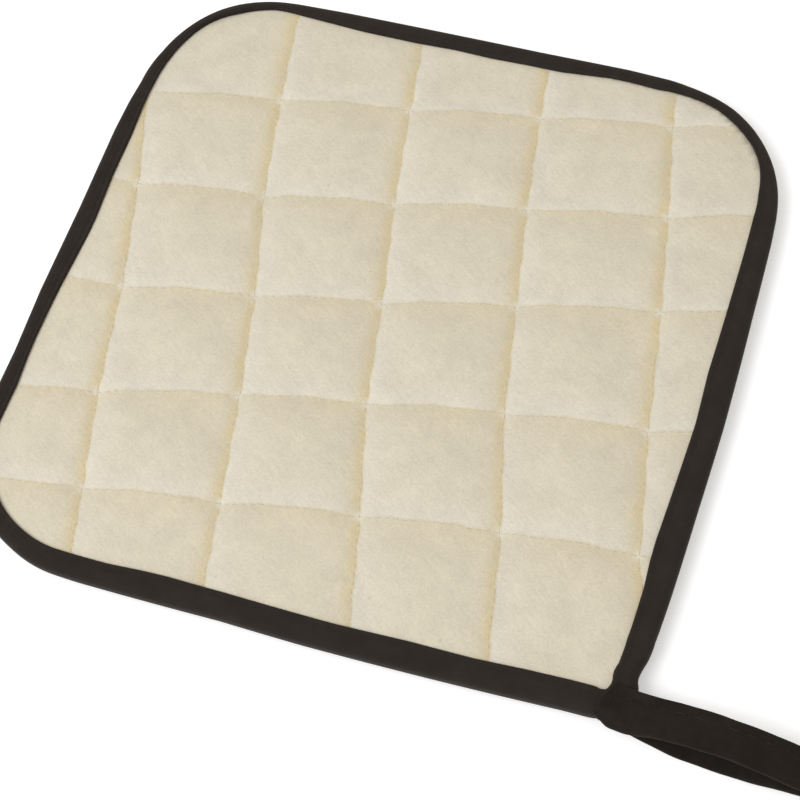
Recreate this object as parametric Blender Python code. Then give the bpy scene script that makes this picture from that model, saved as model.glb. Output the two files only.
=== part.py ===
# Quilted pot holder: two cotton covers quilted through a layer of wadding, a tape
# folded round the edge as a binding, and a hanging loop of the same tape sewn to
# one corner. It lies on its back cover, +Z is up, and the hanging loop's corner is
# at +X, -Y. The origin is under the middle of the whole outline, on the table.

import math

import bmesh
import bpy
from mathutils import Vector

MM = 0.001
SHARP_ANGLE = 40

# Outline, measured over the binding. Each side bows out a little at its middle.
WIDTH = 200 * MM
DEPTH = 200 * MM
FRONT_LEFT_RADIUS = 37 * MM
BACK_LEFT_RADIUS = 39 * MM
BACK_RIGHT_RADIUS = 41 * MM
LOOP_CORNER_INNER_RADIUS = 2.2 * MM
FRONT_BOW = 2.8 * MM
RIGHT_BOW = 3.0 * MM
BACK_BOW = 1.0 * MM
LEFT_BOW = 0.6 * MM

# Layers
CLEARANCE = 0.3 * MM
COVER_THICKNESS = 0.7 * MM
PINCHED_WADDING = 1.0 * MM

# Quilting. Rows run along X and columns along Y, both turned from the sides as the
# cloth was cut. Each line has its own turn in degrees, from the back row to the
# front one and from the left column to the right one.
ROW_PITCH = 34.15 * MM
COLUMN_PITCH = 39.4 * MM
ROW_TURNS = (9.2, 10.2, 11.4, 10.8, 7.8)
COLUMN_TURNS = (12.7, 12.2, 12.3, 11.7, 10.9)
ROWS_SHIFT = 2.6 * MM
COLUMNS_SHIFT = 0.9 * MM

# Puffs between the lines. A stitched line is deepest where two lines cross and
# rises between the crossings. The back puffs are pressed flat by the table.
FRONT_PUFF = 3.3 * MM
FRONT_LINE_RISE = 1.2 * MM
BACK_LINE_RISE = 0.9 * MM
BACK_PUFF_FLATTENING = 1.14
PUFF_ROUNDNESS = 2.4
EDGE_SLOPE = 13 * MM
PUFF_CUTS = (0.13, 0.36, 0.64, 0.87)
MERGE_DISTANCE = 0.5 * MM
CUT_TOLERANCE = 0.01 * MM

# Binding tape, folded round the edge of the three layers
TAPE_THICKNESS = 1.0 * MM
BINDING_WIDTH = 7.8 * MM
BINDING_NARROWING = 2.0 * MM
FOLD_RADIUS = 2.0 * MM
TAPE_EDGE_ROUND = 0.4 * MM
CORNER_STEPS = 7
LOOP_CORNER_STEPS = 4
SIDE_STEPS = 5
FOLD_STEPS = 2

# Hanging loop, a strap of the same tape sewn flat on top of the corner and under it.
# Its lower run lies on the table, shifted back under the corner, and lifts towards
# the tip, where the strap is folded back. Its upper run arches over the lower one.
STRAP_THICKNESS = 1.6 * MM
STRAP_WIDTH = 10.0 * MM
STRAP_EDGE_ROUND = 0.5 * MM
STRAP_OVERLAP = 8.5 * MM
STRAP_FROM_FRONT = 2.75 * MM
STRAP_TURN = -4.3
TAIL_SHIFT = 2.8 * MM
TAIL_SHIFT_REACH = 16 * MM
LOOP_REACH = 54 * MM
LOOP_TIP_RADIUS = 1.15 * MM
LOOP_TIP_HEIGHT = 7.3 * MM
LOOP_LIFT_START = 24 * MM
LOOP_ARCH = 4.9 * MM
LOOP_ARCH_ROUNDNESS = 1.3
STRAP_STEPS = 13
TIP_STEPS = 6

# Heights, from the table up. The strap's lower end lies under the corner and lifts
# the binding by its own thickness.
LAYERS_HALF = PINCHED_WADDING / 2 + CLEARANCE + COVER_THICKNESS
BINDING_HALF = LAYERS_HALF + CLEARANCE + TAPE_THICKNESS
MIDDLE = STRAP_THICKNESS + CLEARANCE + BINDING_HALF
BACK_DROP = MIDDLE - LAYERS_HALF
EDGE_INSET = FOLD_RADIUS
LOOP_CORNER_RADIUS = LOOP_CORNER_INNER_RADIUS + BINDING_WIDTH


def clear_scene():
    for thing in list(bpy.data.objects):
        bpy.data.objects.remove(thing, do_unlink=True)


def make_material(name, colour, roughness):
    material = bpy.data.materials.new(name)
    material.use_nodes = True
    shader = material.node_tree.nodes["Principled BSDF"]
    shader.inputs["Base Color"].default_value = (*colour, 1.0)
    shader.inputs["Roughness"].default_value = roughness
    shader.inputs["Metallic"].default_value = 0.0
    material.diffuse_color = (*colour, 1.0)
    return material


def bowed(x, y):
    # The square outline's point, moved out by the bow of the side it belongs to.
    half_x = WIDTH / 2
    half_y = DEPTH / 2
    along_x = 1 - (x / half_x) ** 2
    along_y = 1 - (y / half_y) ** 2
    side_bow = RIGHT_BOW if x > 0 else LEFT_BOW
    end_bow = BACK_BOW if y > 0 else FRONT_BOW
    return x + side_bow * along_y * x / half_x, y + end_bow * along_x * y / half_y


def edge_distance(x, y):
    # How far a point lies inside the outline.
    there = bowed(x, y)
    x = 2 * x - there[0]
    y = 2 * y - there[1]
    if y > 0:
        radius = BACK_RIGHT_RADIUS if x > 0 else BACK_LEFT_RADIUS
    else:
        radius = LOOP_CORNER_RADIUS if x > 0 else FRONT_LEFT_RADIUS
    over_x = abs(x) - WIDTH / 2 + radius
    over_y = abs(y) - DEPTH / 2 + radius
    outside = math.hypot(max(over_x, 0), max(over_y, 0))
    return radius - outside - min(max(over_x, over_y), 0)


def outline_stations():
    # Points of the square outline, its inward directions and the binding's width
    # there, round the four corners and along the side after each.
    corners = (
        (-1, -1, FRONT_LEFT_RADIUS, 180, CORNER_STEPS),
        (1, -1, LOOP_CORNER_RADIUS, 270, LOOP_CORNER_STEPS),
        (1, 1, BACK_RIGHT_RADIUS, 0, CORNER_STEPS),
        (-1, 1, BACK_LEFT_RADIUS, 90, CORNER_STEPS),
    )
    arcs = []
    for side_x, side_y, radius, start, steps in corners:
        centre = Vector((side_x * (WIDTH / 2 - radius), side_y * (DEPTH / 2 - radius)))
        narrowing = 0 if radius == LOOP_CORNER_RADIUS else BINDING_NARROWING
        arc = []
        for step in range(steps + 1):
            angle = math.radians(start + 90 * step / steps)
            outward = Vector((math.cos(angle), math.sin(angle)))
            width = BINDING_WIDTH - narrowing * math.sin(math.pi * step / steps) ** 2
            arc.append((centre + radius * outward, -outward, width))
        arcs.append(arc)
    stations = []
    for number, arc in enumerate(arcs):
        stations += arc
        start = arc[-1][0]
        end = arcs[(number + 1) % len(arcs)][0][0]
        for step in range(1, SIDE_STEPS):
            stations.append((start.lerp(end, step / SIDE_STEPS), arc[-1][1], BINDING_WIDTH))
    return stations


def on_outline(station, inset):
    point = station[0] + station[1] * inset
    return bowed(point.x, point.y)


def quilt_lines(turns, pitch, shift, sign):
    # Each line is its distance from the middle and its turn. One more line beyond
    # either end guides the cuts of the part cells at the edge.
    count = len(turns)
    lines = []
    for number in range(-1, count + 1):
        place = shift + sign * pitch * (number - (count - 1) / 2)
        turn = turns[min(max(number, 0), count - 1)]
        lines.append((place, math.radians(turn)))
    return lines


ROWS = quilt_lines(ROW_TURNS, ROW_PITCH, ROWS_SHIFT, -1)
COLUMNS = quilt_lines(COLUMN_TURNS, COLUMN_PITCH, COLUMNS_SHIFT, 1)


def row_normal(turn):
    return Vector((-math.sin(turn), math.cos(turn)))


def column_normal(turn):
    return Vector((math.cos(turn), math.sin(turn)))


def puffed(place, lines, normal_of, pitch):
    # 0 on a line and 1 half way to the next one.
    distances = [place.dot(normal_of(turn)) - offset for offset, turn in lines[1:-1]]
    over = [value for value in distances if value >= 0]
    under = [-value for value in distances if value < 0]
    if over and under:
        share = 2 * min(min(over), min(under)) / (min(over) + min(under))
    else:
        share = min(1, 2 * min(over or under) / pitch)
    return 1 - (1 - share) ** PUFF_ROUNDNESS


def puff_shares(x, y):
    # The share of a full puff at a point, and the share of a line's own rise.
    place = Vector((x, y))
    row = puffed(place, ROWS, row_normal, ROW_PITCH)
    column = puffed(place, COLUMNS, column_normal, COLUMN_PITCH)
    inside = (edge_distance(x, y) - BINDING_WIDTH - CLEARANCE) / EDGE_SLOPE
    edge = 1 - (1 - min(max(inside, 0), 1)) ** PUFF_ROUNDNESS
    return edge * row * column, edge * ((1 - row) * column + (1 - column) * row)


def front_rise(x, y):
    puff, line = puff_shares(x, y)
    return FRONT_PUFF * puff + FRONT_LINE_RISE * line


def back_rise(x, y):
    puff, line = puff_shares(x, y)
    return min(BACK_DROP, BACK_DROP * BACK_PUFF_FLATTENING * puff + BACK_LINE_RISE * line)


def cut_along(shape, lines, normal_of):
    # Cuts the quilted field along every quilting line and at set shares between
    # the lines. The rim under the binding isn't cut.
    for number, (offset, turn) in enumerate(lines[:-1]):
        next_offset, next_turn = lines[number + 1]
        for share in (0, *PUFF_CUTS):
            normal = normal_of(turn + (next_turn - turn) * share)
            point = normal * (offset + (next_offset - offset) * share)
            field = [face for face in shape.faces if face.material_index == 0]
            edges = {edge for face in field for edge in face.edges}
            corners = {corner for face in field for corner in face.verts}
            bmesh.ops.bisect_plane(
                shape,
                geom=[*corners, *edges, *field],
                plane_co=(point.x, point.y, 0),
                plane_no=(normal.x, normal.y, 0),
                dist=CUT_TOLERANCE,
            )


def flat_sheet():
    # A flat sheet of the layers' outline, with a rim under the binding and a field
    # inside it, cut up so that its faces follow the quilting.
    shape = bmesh.new()
    stations = outline_stations()
    rim = [shape.verts.new((*on_outline(station, EDGE_INSET), 0)) for station in stations]
    field = [
        shape.verts.new((*on_outline(station, station[2] + CLEARANCE), 0)) for station in stations
    ]
    shape.faces.new(field)
    for number in range(len(stations)):
        after = (number + 1) % len(stations)
        under = shape.faces.new((rim[number], rim[after], field[after], field[number]))
        under.material_index = 1
    cut_along(shape, ROWS, row_normal)
    cut_along(shape, COLUMNS, column_normal)
    bmesh.ops.remove_doubles(shape, verts=shape.verts[:], dist=MERGE_DISTANCE)
    for face in shape.faces[:]:
        if len(face.verts) == 4 and face.material_index == 0:
            lowest = min(face.verts, key=lambda corner: puff_shares(corner.co.x, corner.co.y)[0])
            opposite = face.verts[(list(face.verts).index(lowest) + 2) % 4]
            bmesh.utils.face_split(face, lowest, opposite)
    bmesh.ops.triangulate(shape, faces=shape.faces[:])
    for face in shape.faces:
        face.material_index = 0
    return shape


def layer(name, lower, upper, material, collection):
    # The flat sheet, extruded and pressed to its lower and its upper heights.
    shape = flat_sheet()
    underside = shape.verts[:]
    raised = bmesh.ops.extrude_face_region(shape, geom=shape.faces[:])["geom"]
    for corner in underside:
        corner.co.z = lower(corner.co.x, corner.co.y)
    for corner in raised:
        if isinstance(corner, bmesh.types.BMVert):
            corner.co.z = upper(corner.co.x, corner.co.y)
    return finish_piece(name, shape, material, collection)


def loft(sections, closed_path):
    # Joins like-numbered points of closed sections, and caps the ends if it is open.
    shape = bmesh.new()
    rings = [[shape.verts.new(point) for point in section] for section in sections]
    count = len(rings[0])
    last = len(rings) if closed_path else len(rings) - 1
    for number in range(last):
        ring = rings[number]
        following = rings[(number + 1) % len(rings)]
        for corner in range(count):
            after = (corner + 1) % count
            shape.faces.new((ring[corner], ring[after], following[after], following[corner]))
    if not closed_path:
        shape.faces.new(rings[0])
        shape.faces.new(rings[-1])
    return shape


def finish_piece(name, shape, material, collection):
    bmesh.ops.recalc_face_normals(shape, faces=shape.faces[:])
    mesh = bpy.data.meshes.new(name)
    shape.to_mesh(mesh)
    shape.free()
    mesh.materials.append(material)
    mesh.shade_smooth()
    mesh.set_sharp_from_angle(angle=math.radians(SHARP_ANGLE))
    piece = bpy.data.objects.new(name, mesh)
    collection.objects.link(piece)
    return piece


def binding_section(width):
    # The folded tape across the edge, as inset from the outline and height over
    # the middle: outside from the front leg round the fold, then back inside.
    inner_half = BINDING_HALF - TAPE_THICKNESS
    inner_radius = FOLD_RADIUS - TAPE_THICKNESS
    outer = [(width, BINDING_HALF - 2 * TAPE_EDGE_ROUND), (width - TAPE_EDGE_ROUND, BINDING_HALF)]
    inner = [(width, inner_half)]
    for step in range(FOLD_STEPS + 1):
        angle = math.pi / 2 * step / FOLD_STEPS
        across = 1 - math.sin(angle)
        drop = 1 - math.cos(angle)
        outer.append((FOLD_RADIUS * across, BINDING_HALF - FOLD_RADIUS * drop))
        inner.append((TAPE_THICKNESS + inner_radius * across, inner_half - inner_radius * drop))
    outer += [(inset, -height) for inset, height in reversed(outer)]
    inner += [(inset, -height) for inset, height in reversed(inner)]
    return outer + inner[::-1]


def make_binding(material, collection):
    sections = []
    for station in outline_stations():
        section = []
        for inset, height in binding_section(station[2]):
            section.append((*on_outline(station, inset), MIDDLE + height))
        sections.append(section)
    shape = loft(sections, closed_path=True)
    return finish_piece("edge_binding", shape, material, collection)


def eased(share):
    share = min(max(share, 0), 1)
    return share * share * (3 - 2 * share)


def strap_path():
    # The strap's middle line as distance out from the corner, shift back and height:
    # along the table from under the corner, round the tip and back over the top.
    half = STRAP_THICKNESS / 2
    lower = half
    upper = MIDDLE + BINDING_HALF + CLEARANCE + half
    tip = LOOP_REACH - LOOP_TIP_RADIUS - half
    tip_bottom = LOOP_TIP_HEIGHT - LOOP_TIP_RADIUS
    tip_top = LOOP_TIP_HEIGHT + LOOP_TIP_RADIUS
    path = []
    for step in range(-2, STRAP_STEPS + 1):
        out = tip * step / STRAP_STEPS if step >= 0 else STRAP_OVERLAP * step / 2
        shift = TAIL_SHIFT * (1 - eased((out + STRAP_OVERLAP) / (TAIL_SHIFT_REACH + STRAP_OVERLAP)))
        lift = eased((out - LOOP_LIFT_START) / (tip - LOOP_LIFT_START))
        path.append((out, shift, lower + (tip_bottom - lower) * lift))
    for step in range(1, TIP_STEPS):
        angle = math.pi * step / TIP_STEPS
        out = tip + LOOP_TIP_RADIUS * math.sin(angle)
        path.append((out, 0, tip_bottom + LOOP_TIP_RADIUS * (1 - math.cos(angle))))
    for step in range(STRAP_STEPS, -1, -1):
        share = step / STRAP_STEPS
        arch = LOOP_ARCH * max(0, math.sin(math.pi * share)) ** LOOP_ARCH_ROUNDNESS
        path.append((tip * share, 0, upper + (tip_top - upper) * eased(share) + arch))
    path.append((-STRAP_OVERLAP, 0, upper))
    return path


def strap_section():
    # Across the strap and over its middle line, with its edges rounded off.
    half_width = STRAP_WIDTH / 2
    half = STRAP_THICKNESS / 2
    cut = STRAP_EDGE_ROUND
    quarter = [(half_width, half - cut), (half_width - cut, half)]
    top = quarter + [(-across, over) for across, over in reversed(quarter)]
    return top + [(-across, -over) for across, over in top]


def make_loop(material, collection):
    turn = math.radians(STRAP_TURN)
    outward = Vector((math.cos(turn), math.sin(turn), 0))
    sideways = Vector((-outward.y, outward.x, 0))
    corner = Vector((WIDTH / 2, -DEPTH / 2 + STRAP_FROM_FRONT, 0))
    path = strap_path()
    sections = []
    for number, (out, shift, height) in enumerate(path):
        before = path[max(number - 1, 0)]
        after = path[min(number + 1, len(path) - 1)]
        along = Vector((after[0] - before[0], after[2] - before[2])).normalized()
        if number in (0, len(path) - 1):
            along = Vector((1, 0)) if number == 0 else Vector((-1, 0))
        over = -along.y * outward + Vector((0, 0, along.x))
        middle = corner + outward * out + sideways * shift + Vector((0, 0, height))
        sections.append([middle + sideways * across + over * up for across, up in strap_section()])
    shape = loft(sections, closed_path=False)
    return finish_piece("hanging_loop", shape, material, collection)


def centre_on_origin(pieces):
    # Moves every mesh so that the whole outline is centred over the origin.
    corners = [corner.co for piece in pieces for corner in piece.data.vertices]
    middle_x = (min(corner.x for corner in corners) + max(corner.x for corner in corners)) / 2
    middle_y = (min(corner.y for corner in corners) + max(corner.y for corner in corners)) / 2
    for piece in pieces:
        for corner in piece.data.vertices:
            corner.co.x -= middle_x
            corner.co.y -= middle_y


def main():
    clear_scene()
    collection = bpy.data.collections.new("pot_holder")
    bpy.context.scene.collection.children.link(collection)
    cotton = make_material("cream_cotton", (0.74, 0.67, 0.51), 0.92)
    filling = make_material("white_wadding", (0.85, 0.83, 0.78), 0.95)
    tape = make_material("dark_tape", (0.022, 0.017, 0.014), 0.8)

    def wadding_top(x, y):
        return MIDDLE + PINCHED_WADDING / 2 + front_rise(x, y)

    def wadding_bottom(x, y):
        return MIDDLE - PINCHED_WADDING / 2 - back_rise(x, y)

    pieces = [
        layer(
            "front_cover",
            lambda x, y: wadding_top(x, y) + CLEARANCE,
            lambda x, y: wadding_top(x, y) + CLEARANCE + COVER_THICKNESS,
            cotton,
            collection,
        ),
        layer("wadding", wadding_bottom, wadding_top, filling, collection),
        layer(
            "back_cover",
            lambda x, y: wadding_bottom(x, y) - CLEARANCE - COVER_THICKNESS,
            lambda x, y: wadding_bottom(x, y) - CLEARANCE,
            cotton,
            collection,
        ),
        make_binding(tape, collection),
        make_loop(tape, collection),
    ]
    centre_on_origin(pieces)


main()
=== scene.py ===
import math

import bmesh
import bpy
import numpy as np
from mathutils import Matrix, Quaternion, Vector


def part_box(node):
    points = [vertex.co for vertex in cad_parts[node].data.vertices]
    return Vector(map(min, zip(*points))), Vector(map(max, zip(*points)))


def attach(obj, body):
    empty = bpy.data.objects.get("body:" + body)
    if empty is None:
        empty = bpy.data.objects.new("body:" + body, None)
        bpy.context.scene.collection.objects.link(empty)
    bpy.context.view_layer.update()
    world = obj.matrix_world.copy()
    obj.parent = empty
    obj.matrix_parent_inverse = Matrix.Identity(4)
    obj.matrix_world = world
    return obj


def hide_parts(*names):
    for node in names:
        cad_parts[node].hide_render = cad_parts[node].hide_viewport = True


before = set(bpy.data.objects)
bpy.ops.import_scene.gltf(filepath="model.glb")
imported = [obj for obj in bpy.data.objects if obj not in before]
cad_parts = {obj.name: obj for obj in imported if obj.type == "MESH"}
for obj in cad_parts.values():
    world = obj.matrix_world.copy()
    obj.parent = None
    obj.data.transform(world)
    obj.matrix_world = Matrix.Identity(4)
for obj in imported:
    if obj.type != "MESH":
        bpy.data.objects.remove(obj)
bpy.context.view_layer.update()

mm = 0.001
lastLine = 4  # The quilting lines are numbered from 0 to this, each way.
scene = bpy.context.scene
print("pot holder: frame loaded")

# The outline over the tape, as in the frame's pieces. Each side bows out a little.
pad = {
    "width": 200 * mm,
    "depth": 200 * mm,
    "frontLeftRadius": 37.2 * mm,
    "backLeftRadius": 40.2 * mm,
    "backRightRadius": 41.5 * mm,
    "loopCornerRadius": 10.4 * mm,
    "frontBow": 2.8 * mm,
    "rightBow": 3.0 * mm,
    "backBow": 1.0 * mm,
    "leftBow": 0.6 * mm,
    "tapeWidth": 7.8 * mm,
    "pinch": 1.7 * mm,
    "pinchFromFront": 13 * mm,
    "pinchReach": (3.2 * mm, 6.5 * mm),
}
tapeLow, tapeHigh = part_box("edge_binding")
middleX = tapeLow.x + pad["leftBow"] + pad["width"] / 2
middleY = tapeLow.y + pad["frontBow"] + pad["depth"] / 2
padMiddle = np.array((middleX, middleY))
padLevel = (tapeLow.z + tapeHigh.z) / 2
tapeHalf = (tapeHigh.z - tapeLow.z) / 2


def smooth(share):
    share = np.clip(share, 0, 1)
    return share * share * (3 - 2 * share)


def pinchShare(x, y):
    # The right side is drawn in a little where the loop's seam pulls at it.
    away = y + pad["depth"] / 2 - pad["pinchFromFront"]
    near, far = pad["pinchReach"]
    reach = np.where(away < 0, near, far)
    return np.exp(-((away / reach) ** 2)) * np.where(x > 0, x / (pad["width"] / 2), 0)


def bowed(x, y):
    # A point of the square outline, moved out by the bow of its side.
    halfX = pad["width"] / 2
    halfY = pad["depth"] / 2
    sideBow = np.where(x > 0, pad["rightBow"], pad["leftBow"])
    endBow = np.where(y > 0, pad["backBow"], pad["frontBow"])
    newX = x + sideBow * (1 - (y / halfY) ** 2) * x / halfX - pad["pinch"] * pinchShare(x, y)
    newY = y + endBow * (1 - (x / halfX) ** 2) * y / halfY
    return newX, newY


def edgeDistance(x, y):
    # How far inside the outline a point lies, from the pad's middle.
    thereX, thereY = bowed(x, y)
    x = 2 * x - thereX
    y = 2 * y - thereY
    back = np.where(x > 0, pad["backRightRadius"], pad["backLeftRadius"])
    front = np.where(x > 0, pad["loopCornerRadius"], pad["frontLeftRadius"])
    radius = np.where(y > 0, back, front)
    overX = np.abs(x) - pad["width"] / 2 + radius
    overY = np.abs(y) - pad["depth"] / 2 + radius
    outside = np.hypot(np.maximum(overX, 0), np.maximum(overY, 0))
    return radius - outside - np.minimum(np.maximum(overX, overY), 0)


tape = {
    "spacing": 1.2 * mm,
    "thickness": 0.75 * mm,
    "foldRadius": 2.0 * mm,
    # On the back, at the front left, back right and back left corner
    "narrowing": (1.0 * mm, 2.3 * mm, 2.2 * mm),
    "backPinch": 0.8,
    "edgeWave": 0.22 * mm,
    # The rounded edge, as distances in from the edge and down from the face, and the
    # points of the seam's dip, in mm from its middle
    "edgeRound": ((0.0, 0.70), (0.04, 0.32), (0.18, 0.08), (0.45, 0.0)),
    "seamPoints": (-0.75, -0.45, -0.25, -0.1, 0.1, 0.25, 0.45, 0.75, 1.2),
    "seamInset": 1.6 * mm,
    "seamDepth": 0.14 * mm,
    "seamSpread": 0.55 * mm,
    "seamEnd": 1.8 * mm,
    "seamRoom": 4 * mm,
    "crown": 0.06 * mm,
    "tuck": 0.02 * mm,
    "tuckShare": 0.6,
    "foldSwell": 0.04 * mm,
    "threadLift": 0.05 * mm,
    "ripple": 0.1 * mm,
    "gather": 0.16 * mm,
    # Along the edge from the front left corner and the width there, in mm
    "frontWidths": (
        (0, 5.75), (36, 5.79), (66, 6.05), (74, 6.25), (84, 7), (91, 7.3), (140, 7.05),
        (160, 7.5), (178, 7.25), (192, 7.65), (204, 7.65), (210, 7.55), (218, 6.55),
        (222, 6.75), (226, 6.55), (232, 5.65), (239, 6.85), (254, 7.15), (262, 7.8),
        (268, 7.95), (305, 7), (321, 7.55), (362, 6.57), (374, 6.4), (384, 5.8), (396, 3.95),
        (402, 3.5), (426, 3.95), (442, 5.22), (451, 4.88), (457, 4.93), (472, 6.32),
        (482, 6.27), (494, 6.57), (506, 6.16), (519, 6.46), (536, 6.1), (559, 4.44),
        (568, 3.47), (579, 3.43), (586, 3.06), (591, 3.2), (600, 4.16), (615, 5.1), (625, 5.2),
        (642, 6.06), (658, 6.06), (674, 6.87), (680, 6.77), (699, 5.63), (717, 5.09),
        (723, 5.19), (732, 5.89), (744.5, 5.75),
    ),
    # Along the edge and how far the real edge lies out from the outline there, in mm
    "outlineShifts": (
        (0, 0), (27, 0), (44, -0.27), (60, 0.32), (66, 0.38), (108, -0.58), (132, -0.21),
        (204, -0.21), (226, 0.5), (235, 0.6), (241, 0.05), (254, 0.22), (280, 0.15), (307, 0.4),
        (344, 0.08), (368, 0.14), (379, -0.16), (408, 0.31), (417, 0.19), (428, -0.63),
        (433, -0.8), (452, 0), (480, -0.2), (544, 0.25), (562, 0.03), (579, 0.77),
        (585, 0.8), (591, 0.48), (609, -1.0), (621, -0.96), (630, -0.06), (641, 0.33),
        (671, -0.06), (701, 0.21), (722, -0.41), (744.5, 0),
    ),
    "shiftReach": 12 * mm,
    "stitch": {
        "spacing": 3.0 * mm, "length": 2.0 * mm, "thickness": 0.26 * mm,
        "unevenness": 0.2, "seed": 3,
    },
}


def outlineStations(spacing):
    # Points round the square outline, their inward directions, how far the tape
    # narrows there, and the length along the edge.
    frontLeft, backRight, backLeft = tape["narrowing"]
    corners = (
        (-1, -1, pad["frontLeftRadius"], 180, frontLeft),
        (1, -1, pad["loopCornerRadius"], 270, 0),
        (1, 1, pad["backRightRadius"], 0, backRight),
        (-1, 1, pad["backLeftRadius"], 90, backLeft),
    )
    arcs = []
    for sideX, sideY, radius, start, most in corners:
        centre = np.array(
            (sideX * (pad["width"] / 2 - radius), sideY * (pad["depth"] / 2 - radius))
        )
        count = max(6, round(math.pi / 2 * radius / spacing))
        share = np.arange(count) / count
        angle = np.radians(start + 90 * share)
        outward = np.stack((np.cos(angle), np.sin(angle)), 1)
        narrowing = most * np.sin(np.pi * share) ** 2
        endAngle = math.radians(start + 90)
        sideOut = np.array((math.cos(endAngle), math.sin(endAngle)))
        sideStart = centre + radius * sideOut
        arcs.append((centre + radius * outward, -outward, narrowing, sideStart, sideOut))
    points, inward, narrowings = [], [], []
    for number, (arcPoints, arcInward, narrowing, sideStart, sideOut) in enumerate(arcs):
        sideEnd = arcs[(number + 1) % 4][0][0]
        count = round(np.linalg.norm(sideEnd - sideStart) / spacing)
        share = (np.arange(count) / count)[:, None]
        points += [arcPoints, sideStart + (sideEnd - sideStart) * share]
        inward += [arcInward, np.repeat(-sideOut[None], count, 0)]
        narrowings += [narrowing, np.zeros(count)]
    points = np.concatenate(points)
    steps = np.linalg.norm(np.roll(points, -1, 0) - points, axis=1)
    along = np.concatenate(((0,), np.cumsum(steps)))
    return points, np.concatenate(inward), np.concatenate(narrowings), along


def tableValue(table, at):
    return np.interp(at, *(np.array(table).T * mm))


def addObject(name, data):
    thing = bpy.data.objects.new(name, data)
    scene.collection.objects.link(thing)
    return thing


def faceEdges(faces):
    return np.concatenate([faces[:, (k, (k + 1) % 4)] for k in range(4)])


def makeMesh(name, points, faces, lines=None):
    # A mesh of quads, with the quilting lines' numbers as its map where it has them.
    mesh = bpy.data.meshes.new(name)
    mesh.from_pydata(points.tolist(), [], faces.tolist())
    if lines is not None:
        corner = np.zeros(len(mesh.loops), np.int32)
        mesh.loops.foreach_get("vertex_index", corner)
        layer = mesh.uv_layers.new(name="quilt")
        layer.data.foreach_set("uv", lines[corner].astype(np.float32).ravel())
    mesh.shade_smooth()
    return addObject(name, mesh)


def movePoints(piece, points):
    piece.data.vertices.foreach_set("co", points.astype(np.float32).ravel())
    piece.data.update()


def applied(piece):
    # Puts the mesh with its modifiers applied in place of the old one.
    bpy.context.view_layer.update()
    evaluated = piece.evaluated_get(bpy.context.evaluated_depsgraph_get())
    mesh = bpy.data.meshes.new_from_object(evaluated)
    old = piece.data
    piece.modifiers.clear()
    piece.data = mesh
    mesh.name = piece.name
    bpy.data.meshes.remove(old)


def sweep(name, rings, along, across, closedPath):
    # A skin over closed sections, with the tape's own length and width as its map.
    stations, count = rings.shape[:2]
    last = stations if closedPath else stations - 1
    near, corner = np.meshgrid(np.arange(last), np.arange(count), indexing="ij")
    near, corner = near.ravel(), corner.ravel()
    far, after = (near + 1) % stations, (corner + 1) % count
    quad = ((near, corner), (near, after), (far, after), (far, corner))
    faces = np.stack([station * count + place for station, place in quad], 1).tolist()
    quad = ((near, corner), (near, corner + 1), (near + 1, corner + 1), (near + 1, corner))
    uvs = np.stack([np.stack((along[there], across[place]), 1) for there, place in quad], 1)
    uvs = uvs.reshape(-1, 2)
    if not closedPath:
        ends = np.arange(count)
        faces += [ends[::-1].tolist(), (ends + (stations - 1) * count).tolist()]
        first = np.stack((np.full(count, along[0]), across[:count][::-1]), 1)
        final = np.stack((np.full(count, along[-1]), across[:count]), 1)
        uvs = np.concatenate((uvs, first, final))
    mesh = bpy.data.meshes.new(name)
    mesh.from_pydata(rings.reshape(-1, 3).tolist(), [], faces)
    layer = mesh.uv_layers.new(name="cloth")
    layer.data.foreach_set("uv", uvs.astype(np.float32).ravel())
    shape = bmesh.new()
    shape.from_mesh(mesh)
    bmesh.ops.recalc_face_normals(shape, faces=shape.faces[:])
    shape.to_mesh(mesh)
    shape.free()
    mesh.shade_smooth()
    return addObject(name, mesh)


def wave(along, period, lengths, seed):
    # Soft unevenness along an edge. It closes on itself after the period.
    draw = np.random.default_rng(seed)
    total = 0
    for length in lengths:
        turns = max(1, round(period / length))
        total = total + np.sin(2 * np.pi * turns * along / period + draw.uniform(0, 2 * np.pi))
    return total / len(lengths)


stitchBall = {"Segments": 7, "Rings": 6, "Radius": 0.5}  # Of one stitch before it is stretched


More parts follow.
